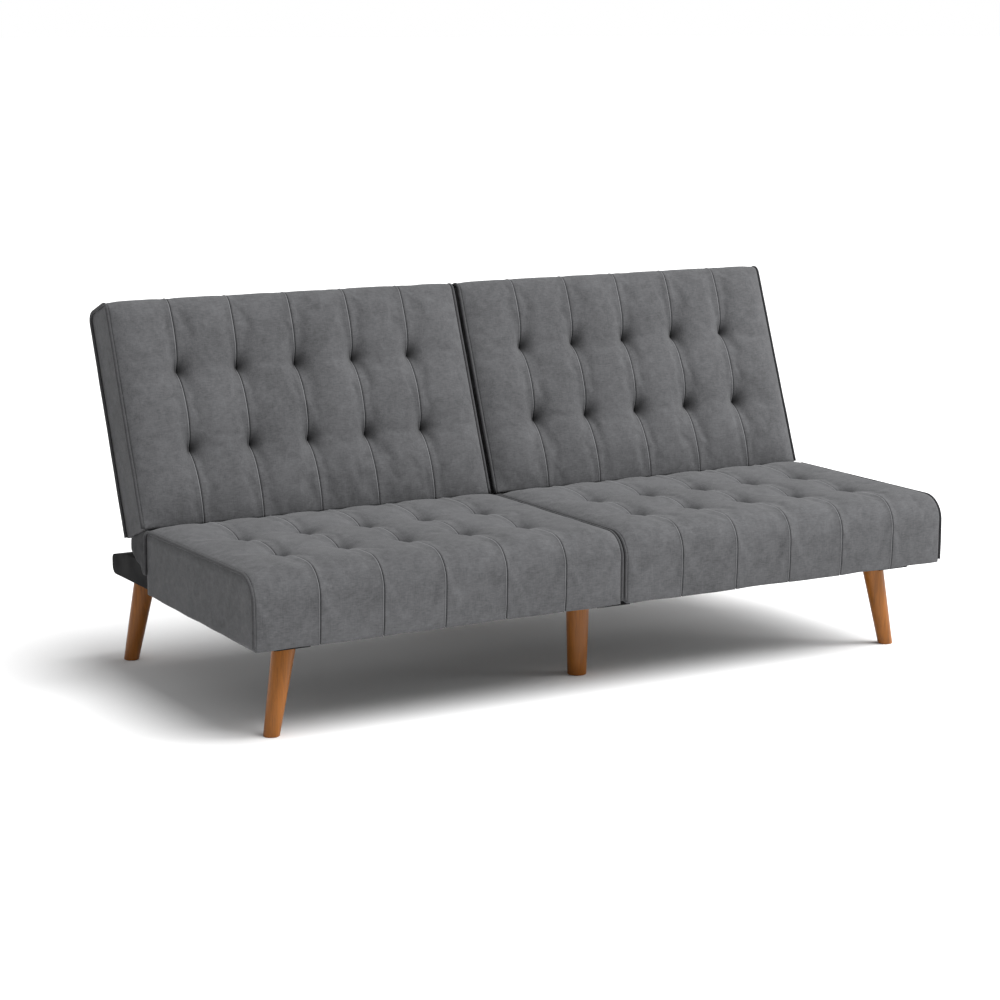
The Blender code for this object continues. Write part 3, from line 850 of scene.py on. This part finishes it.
def pinch_tufts(mesh, cushion):
    """Draws a narrow funnel into the cloth round every tuft and stores its depth as painted shade for the
    fabric.
    """
    values = settings("cushions")
    plain, outward = marked(mesh, "plain"), marked(mesh, "outward")
    points = np.empty(len(mesh.vertices) * 3, np.float32)
    mesh.vertices.foreach_get("co", points)
    points = points.reshape(-1, 3)
    tuft_painted_shade = np.zeros(len(points))
    on_face = outward[:, 2] if cushion.tuft_axis == 1 else -outward[:, 1]
    for seam in cushion.seams:
        for tuft in cushion.tufts:
            over = (plain[:, 0] - seam) / values.dimple_reach
            along = (plain[:, cushion.tuft_axis] - tuft) / (values.dimple_reach * TUFT_STRETCH)
            depth = values.dimple * np.exp(-np.hypot(over, along))
            depth[on_face < 0.9] = 0
            points -= outward * depth[:, None]
            # painted shade: darker towards the bottom of each funnel
            tuft_painted_shade = np.maximum(tuft_painted_shade, TUFT_SHADE * (depth / values.dimple) ** 1.3)
    mesh.vertices.foreach_set("co", points.ravel())
    mark = mesh.attributes.new("tuft_painted_shade", "FLOAT", "POINT")
    mark.data.foreach_set("value", tuft_painted_shade.astype(np.float32))
    mesh.update()


def hidden_under(cushion, place):
    """True inside the hollow under a seat, away from its hem."""
    outer = cushion.high.x if cushion.side > 0 else cushion.low.x
    behind_front = place.y > cushion.low.y + APRON_DEPTH - TINY
    return behind_front and abs(outer - place.x) > APRON_DEPTH - TINY


SEAT_TUFT_ROWS = (0.325, 0.655)  # shares of a seat's depth, from its front
BACK_TUFT_ROWS = (0.329, 0.676)  # shares of a back's height, from its foot


class FUTON_OT_seats(bpy.types.Operator):
    """Add the two channelled and tufted seats"""

    bl_idname = "futon.seats"
    bl_label = "Seats"

    def execute(self, context):
        for seed, (word, side) in enumerate(SIDES.items()):
            low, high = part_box(f"seat_cover_{word}")
            tufts = [low.y + (high.y - low.y) * share for share in SEAT_TUFT_ROWS]
            cushion = Cushion(
                f"seat_cover_{word}", side, WORLD_FRAME, (SEAT_NOSE_R, SEAT_REAR_R), 1, tufts, seed + 1
            )
            low, high = cushion.low.copy(), cushion.high.copy()
            recess_low = Vector((low.x - 0.05, low.y + APRON_DEPTH, low.z - 0.05))
            recess_high = Vector((high.x + 0.05, high.y + 0.05, RECESS_TOP))
            if side > 0:
                recess_high.x = high.x - APRON_DEPTH
            else:
                recess_low.x = low.x + APRON_DEPTH
            obj = make_cushion(f"seat_{word}", cushion, seat_fullness, (recess_low, recess_high))
            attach(obj, BASE)
            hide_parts(f"seat_cover_{word}", f"seat_foam_{word}")
        return {"FINISHED"}


class FUTON_OT_backs(bpy.types.Operator):
    """Add the two channelled and tufted backs"""

    bl_idname = "futon.backs"
    bl_label = "Backs"

    def execute(self, context):
        for seed, (word, side) in enumerate(SIDES.items()):
            low, high = node_span(f"back_cover_{word}", HINGE_FRAME)
            tufts = [low.z + (high.z - low.z) * share for share in BACK_TUFT_ROWS]
            cushion = Cushion(
                f"back_cover_{word}", side, HINGE_FRAME, (BACK_FACE_R, BACK_REAR_R), 2, tufts, seed + 5
            )
            obj = make_cushion(f"back_{word}_cushion", cushion, back_fullness)
            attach(obj, f"back_{word}")
            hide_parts(f"back_cover_{word}", f"back_foam_{word}")
        return {"FINISHED"}


# Piping.

SEAT_WELT_END = 0.046  # height above the hem where a seat's piping ends at the rear
WELT_STEP = 0.02
WELT_DRIFT = 0.0006  # sideways roll of the cord between its stitches
ARC_STEPS = 10
TOP_STEPS = 20


def quarter_turn(centre_y, centre_z, radius, start):
    """(y, z) points along a quarter circle that runs clockwise from the angle start."""
    angles = [start - math.pi / 2 * step / ARC_STEPS for step in range(ARC_STEPS + 1)]
    return [(centre_y + radius * math.cos(a), centre_z + radius * math.sin(a)) for a in angles]


def belt_line(low, high, front_r, rear_r, rear_low):
    """(y, z) points up a cushion's face, over its top and down its rear to rear_low."""
    rises = int((high.z - front_r - low.z) / WELT_STEP)
    face = [(low.y, low.z + WELT_STEP * step) for step in range(1, rises)]
    front_y, rear_y = low.y + front_r, high.y - rear_r
    front = quarter_turn(front_y, high.z - front_r, front_r, math.pi)
    top = [(front_y + (rear_y - front_y) * step / TOP_STEPS, high.z) for step in range(1, TOP_STEPS)]
    rear = quarter_turn(rear_y, high.z - rear_r, rear_r, math.pi / 2)
    down = [(high.y, z) for z in np.arange(high.z - rear_r - WELT_STEP, rear_low, -WELT_STEP)]
    return [(low.y, low.z), *face, *front, *top, *rear, *down, (high.y, rear_low)]


def welt(name, line, x, radius, seed, space, material):
    """A covered cord along a line, rolled slightly in and out by its stitches."""
    curve = bpy.data.curves.new(name, "CURVE")
    curve.dimensions = "3D"
    curve.bevel_depth = radius
    curve.bevel_resolution = 4
    curve.use_fill_caps = True
    spline = curve.splines.new("NURBS")
    spline.points.add(len(line) - 1)
    for point, (y, z) in zip(spline.points, line):
        drift = noise.noise(Vector((seed * 5.1, y * 18, z * 18))) * WELT_DRIFT
        point.co = (x + drift, y, z, 1.0)
    spline.use_endpoint_u = True
    spline.order_u = 3
    spline.resolution_u = 3
    drawn = bpy.data.objects.new(name, curve)
    bpy.context.scene.collection.objects.link(drawn)
    graph = bpy.context.evaluated_depsgraph_get()
    mesh = bpy.data.meshes.new_from_object(drawn.evaluated_get(graph))
    bpy.data.objects.remove(drawn, do_unlink=True)
    shape = bmesh.new()
    shape.from_mesh(mesh)
    bmesh.ops.remove_doubles(shape, verts=shape.verts, dist=TINY)
    bmesh.ops.recalc_face_normals(shape, faces=shape.faces)
    shape.to_mesh(mesh)
    shape.free()
    mesh.transform(space)
    return new_piece(name, mesh, material)


class FUTON_OT_pipings(bpy.types.Operator):
    """Add the piping along both side edges of every cushion"""

    bl_idname = "futon.pipings"
    bl_label = "Pipings"

    def execute(self, context):
        kinds = (
            ("seat", WORLD_FRAME, SEAT_NOSE_R, SEAT_REAR_R, SEAT_WELT_END),
            ("back", HINGE_FRAME, BACK_FACE_R, BACK_REAR_R, 0.0),
        )
        for kind, space, front_r, rear_r, rear_lift in kinds:
            for word in SIDES:
                for number, edge in enumerate(EDGES):
                    node = f"{kind}_piping_{word}_{edge}"
                    low, high = node_span(node, space)
                    radius = (high.x - low.x) / 2
                    inset = Vector((0, radius, radius))
                    x = (low.x + high.x) / 2
                    line_low = low + Vector((0, radius, 0))
                    line = belt_line(line_low, high - inset, front_r, rear_r, low.z + rear_lift)
                    # painted shade: the right-hand outer piping is drawn near black, the rest grey
                    tone = "welt" if (word, edge) == ("right", "outer") else "light_welt"
                    obj = welt(f"{kind}_welt_{word}_{edge}", line, x, radius, number, space, tone)
                    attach(obj, BASE if kind == "seat" else f"back_{word}")
                    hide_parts(node)
        return {"FINISHED"}


# Gathered cloth at the hinges.

SKIRT_FOOT = 0.244  # heights of the cloth's lower and upper edges at the seat
SKIRT_HEAD = 0.322
SKIRT_TOP = 0.345  # no cut is needed above this height
SKIRT_ROW = 0.009
SKIRT_COLUMNS = 130
SKIRT_LAYER = 0.012
SKIRT_FLAT = 0.030  # depth of its flat bottom
SKIRT_SAG = 0.022  # how far it hangs below the back's rear edge
SKIRT_TUCK = 0.006  # how far its seams lie inside the back's face and rear
SKIRT_GAP = 0.001
FOLD_TOP = 0.31  # the folds grow from this height down
FOLD_FADE = 0.06
FOLD_SIZE = 0.0035
SWAY_SIZE = 0.004
END_REACH = 0.02


class FUTON_OT_skirts(bpy.types.Operator):
    """Add the gathered cloth that closes the gap between each seat and its back"""

    bl_idname = "futon.skirts"
    bl_label = "Hinge Skirts"

    def execute(self, context):
        for word, side in SIDES.items():
            low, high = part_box(f"hinge_skirt_{word}")
            back_low, back_high = node_span(f"back_cover_{word}", HINGE_FRAME)
            face_foot = HINGE_FRAME @ Vector((0, back_low.y + SKIRT_TUCK, back_low.z - SKIRT_GAP))
            rear_foot = HINGE_FRAME @ Vector((0, back_high.y - SKIRT_TUCK, back_low.z - SKIRT_GAP))
            corners = [
                (low.y + SKIRT_GAP, SKIRT_FOOT),
                (low.y + SKIRT_FLAT, SKIRT_FOOT - SKIRT_GAP),
                (rear_foot.y - 0.004, rear_foot.z - SKIRT_SAG),
                (rear_foot.y, rear_foot.z),
                (face_foot.y, face_foot.z),
                (low.y + SKIRT_GAP, SKIRT_HEAD),
            ]
            shape = bmesh.new()
            outline = [shape.verts.new((low.x, y, z)) for y, z in corners]
            face = shape.faces.new(outline)
            spun = bmesh.ops.extrude_face_region(shape, geom=[face])
            moved = [item for item in spun["geom"] if isinstance(item, bmesh.types.BMVert)]
            bmesh.ops.translate(shape, vec=(high.x - low.x, 0, 0), verts=moved)
            long_edges = [e for e in shape.edges if abs(e.verts[0].co.x - e.verts[1].co.x) > 0.1]
            bmesh.ops.subdivide_edges(shape, edges=long_edges, cuts=SKIRT_COLUMNS, use_grid_fill=True)
            slice_at(shape, 2, steps_between(SKIRT_FOOT - SKIRT_GAP, SKIRT_TOP, SKIRT_ROW))
            slice_at(shape, 1, steps_between(low.y, rear_foot.y, SKIRT_LAYER))
            bmesh.ops.recalc_face_normals(shape, faces=shape.faces)
            self.gather(shape, low, high, side)
            # its fabric is the cover fabric painted darker as shade
            obj = new_piece(f"hinge_gather_{word}", mesh_from(shape, "gather"), "gather")
            smooth = obj.modifiers.new("soften", "SUBSURF")
            smooth.levels = 1
            smooth.render_levels = 1
            start = (0, low.y + 0.014, 0.255)
            end = (0, HINGE.y + 0.024, HINGE.z)
            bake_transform(obj, BASE, f"back_{word}", start=start, end=end)
            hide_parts(f"hinge_skirt_{word}")
        return {"FINISHED"}

    def gather(self, shape, low, high, side):
        """Pushes folds into the cloth, strongest at its lower edge and at its two ends."""
        shape.normal_update()
        moves = {}
        for vert in shape.verts:
            place = vert.co
            down = max(0.0, min(1.0, (FOLD_TOP - place.z) / FOLD_FADE))
            fold = math.sin(place.x * 95 + 2.2 * math.sin(place.x * 31 + side))
            sway = noise.noise(Vector((place.x * 14, place.y * 60, place.z * 60)))
            end_gap = min(place.x - low.x, high.x - place.x)
            at_end = math.exp(-end_gap / END_REACH)
            size = FOLD_SIZE * fold * (0.3 + 0.7 * down) + SWAY_SIZE * sway * (0.4 + at_end)
            moves[vert] = vert.normal * size
        for vert, move in moves.items():
            if vert.co.y > low.y + SKIRT_LAYER:
                vert.co += move


# Legs.

LEG_EDGE_R = 0.0022
LEG_SEGMENTS = 72
END_BAND = 0.004  # a leg's end ring lies within this height of its lowest or highest point


class FUTON_OT_legs(bpy.types.Operator):
    """Add the six turned and stained legs"""

    bl_idname = "futon.legs"
    bl_label = "Legs"

    def execute(self, context):
        names = [f"{place}_leg_{word}" for place in ("front", "rear") for word in SIDES]
        names += ["centre_leg_front", "centre_leg_rear"]
        for node in names:
            corners = [vert.co for vert in frame["nodes"][node].data.vertices]
            floor = min(corner.z for corner in corners)
            top = max(corner.z for corner in corners)
            tall = top - floor
            foot, foot_r = self.ring([c for c in corners if c.z < floor + END_BAND])
            head, head_r = self.ring([c for c in corners if c.z > top - END_BAND])
            shape = bmesh.new()
            bmesh.ops.create_cone(
                shape, cap_ends=True, segments=LEG_SEGMENTS, radius1=foot_r, radius2=head_r, depth=tall
            )
            rims = [e for e in shape.edges if e.is_manifold and e.calc_face_angle() > 1.0]
            bmesh.ops.bevel(
                shape, geom=rims, offset=LEG_EDGE_R, segments=4, profile=0.5, affect="EDGES", material=-1
            )
            bmesh.ops.translate(shape, vec=(0, 0, (top + floor) / 2), verts=shape.verts)
            for vert in shape.verts:
                vert.co.xy += foot.lerp(head, (vert.co.z - floor) / tall)
            obj = new_piece(f"turned_{node}", mesh_from(shape, node), "leg")
            obj.data.set_sharp_from_angle(angle=math.radians(50))
            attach(obj, BASE)
            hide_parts(node)
        return {"FINISHED"}

    def ring(self, corners):
        """Middle and radius of the circle through a leg's end."""
        lows = [min(corner[axis] for corner in corners) for axis in (0, 1)]
        highs = [max(corner[axis] for corner in corners) for axis in (0, 1)]
        middle = Vector(((lows[0] + highs[0]) / 2, (lows[1] + highs[1]) / 2))
        return middle, (highs[1] - lows[1]) / 2


# Finishes of the pieces that keep their built shape.


class FUTON_OT_hardware(bpy.types.Operator):
    """Finish the rails, hinges, frames and other hard parts"""

    bl_idname = "futon.hardware"
    bl_label = "Rails and Hardware"

    def execute(self, context):
        finishes = {
            "paint": ("rail", "stretcher"),
            "black_steel": ("hinge_bracket", "hinge_arm"),
            "zinc": ("bolt", "hinge_pin"),
            "pine": ("seat_frame", "back_frame"),
            "board": ("deck", "back_panel"),
            "lining": ("dust_cover",),
        }
        for name, obj in frame["nodes"].items():
            for material, words in finishes.items():
                if any(word in name for word in words):
                    obj.data.materials.clear()
                    obj.data.materials.append(MATERIALS[material])
        return {"FINISHED"}


# Stage.


def area_light(name, place, target, size, power):
    """A square area light that faces its target."""
    light = bpy.data.lights.new(name, "AREA")
    light.size = size
    light.energy = power
    obj = bpy.data.objects.new(name, light)
    obj.location = place
    obj.rotation_euler = (Vector(target) - Vector(place)).to_track_quat("-Z", "Y").to_euler()
    bpy.context.scene.collection.objects.link(obj)


class FUTON_OT_stage(bpy.types.Operator):
    """Add the camera, a pale floor and soft studio light"""

    bl_idname = "futon.stage"
    bl_label = "Stage"

    def execute(self, context):
        values = settings("stage")
        lens = bpy.data.cameras.new("camera")
        lens.lens = values.focal
        camera = bpy.data.objects.new("camera", lens)
        camera.location = CAMERA_PLACE
        turn = Matrix.Rotation(-values.yaw, 4, "Z") @ Matrix.Rotation(math.pi / 2 - values.pitch, 4, "X")
        camera.rotation_euler = (turn @ Matrix.Rotation(CAMERA_ROLL, 4, "Z")).to_euler()
        context.scene.collection.objects.link(camera)
        context.scene.camera = camera

        shape = bmesh.new()
        bmesh.ops.create_grid(shape, x_segments=1, y_segments=1, size=FLOOR_SIZE)
        floor = bpy.data.objects.new("studio_floor", mesh_from(shape, "studio_floor"))
        context.scene.collection.objects.link(floor)
        white = Finish("studio_white")
        floor.data.materials.append(
            white.set(Base_Color=(0.90, 0.90, 0.90), Roughness=0.9, Specular_IOR_Level=0.1)
        )

        room = bpy.data.worlds.new("room")
        room.use_nodes = True
        nodes, links = room.node_tree.nodes, room.node_tree.links
        seen = nodes["Background"]
        seen.inputs["Color"].default_value = (1, 1, 1, 1)
        lit = nodes.new("ShaderNodeBackground")
        lit.inputs["Color"].default_value = (1, 1, 1, 1)
        lit.inputs["Strength"].default_value = values.ambient
        rays = nodes.new("ShaderNodeLightPath")
        either = nodes.new("ShaderNodeMixShader")
        links.new(rays.outputs["Is Camera Ray"], either.inputs[0])
        links.new(lit.outputs[0], either.inputs[1])
        links.new(seen.outputs[0], either.inputs[2])
        links.new(either.outputs[0], nodes["World Output"].inputs["Surface"])
        context.scene.world = room
        context.scene.view_settings.view_transform = "Standard"

        overhead = bpy.data.lights.new("overhead", "SUN")
        overhead.energy = values.key
        overhead.angle = KEY_SPREAD
        lamp = bpy.data.objects.new("overhead", overhead)
        lamp.rotation_euler = Vector(KEY_DIRECTION).to_track_quat("Z", "Y").to_euler()
        context.scene.collection.objects.link(lamp)
        area_light("right", SIDE_PLACE, SIDE_TARGET, SIDE_SIZE, values.side)
        return {"FINISHED"}


OPERATORS = (
    FUTON_OT_stage,
    FUTON_OT_seats,
    FUTON_OT_backs,
    FUTON_OT_pipings,
    FUTON_OT_skirts,
    FUTON_OT_legs,
    FUTON_OT_hardware,
)
GROUPS = {"cushions": FUTON_PG_cushions, "finishes": FUTON_PG_finishes, "stage": FUTON_PG_stage}


class FUTON_PT_sofa(bpy.types.Panel):
    """Sidebar panel with every step of the sofa bed"""

    bl_label = "Futon Sofa Bed"
    bl_idname = "FUTON_PT_sofa"
    bl_space_type = "VIEW_3D"
    bl_region_type = "UI"
    bl_category = "Futon"

    def draw(self, context):
        for operator in OPERATORS:
            self.layout.operator(operator.bl_idname)


def register():
    for group in GROUPS.values():
        bpy.utils.register_class(group)
    for operator in OPERATORS:
        bpy.utils.register_class(operator)
    bpy.utils.register_class(FUTON_PT_sofa)
    for name, group in GROUPS.items():
        setattr(bpy.types.Scene, "futon_" + name, PointerProperty(type=group))


def unregister():
    for name in GROUPS:
        delattr(bpy.types.Scene, "futon_" + name)
    bpy.utils.unregister_class(FUTON_PT_sofa)
    for made in (*reversed(OPERATORS), *reversed(GROUPS.values())):
        bpy.utils.unregister_class(made)


def main():
    register()
    make_materials()
    bpy.ops.futon.stage()
    bpy.ops.futon.seats()
    bpy.ops.futon.backs()
    bpy.ops.futon.pipings()
    bpy.ops.futon.skirts()
    bpy.ops.futon.legs()
    bpy.ops.futon.hardware()


if __name__ == "__main__":
    main()
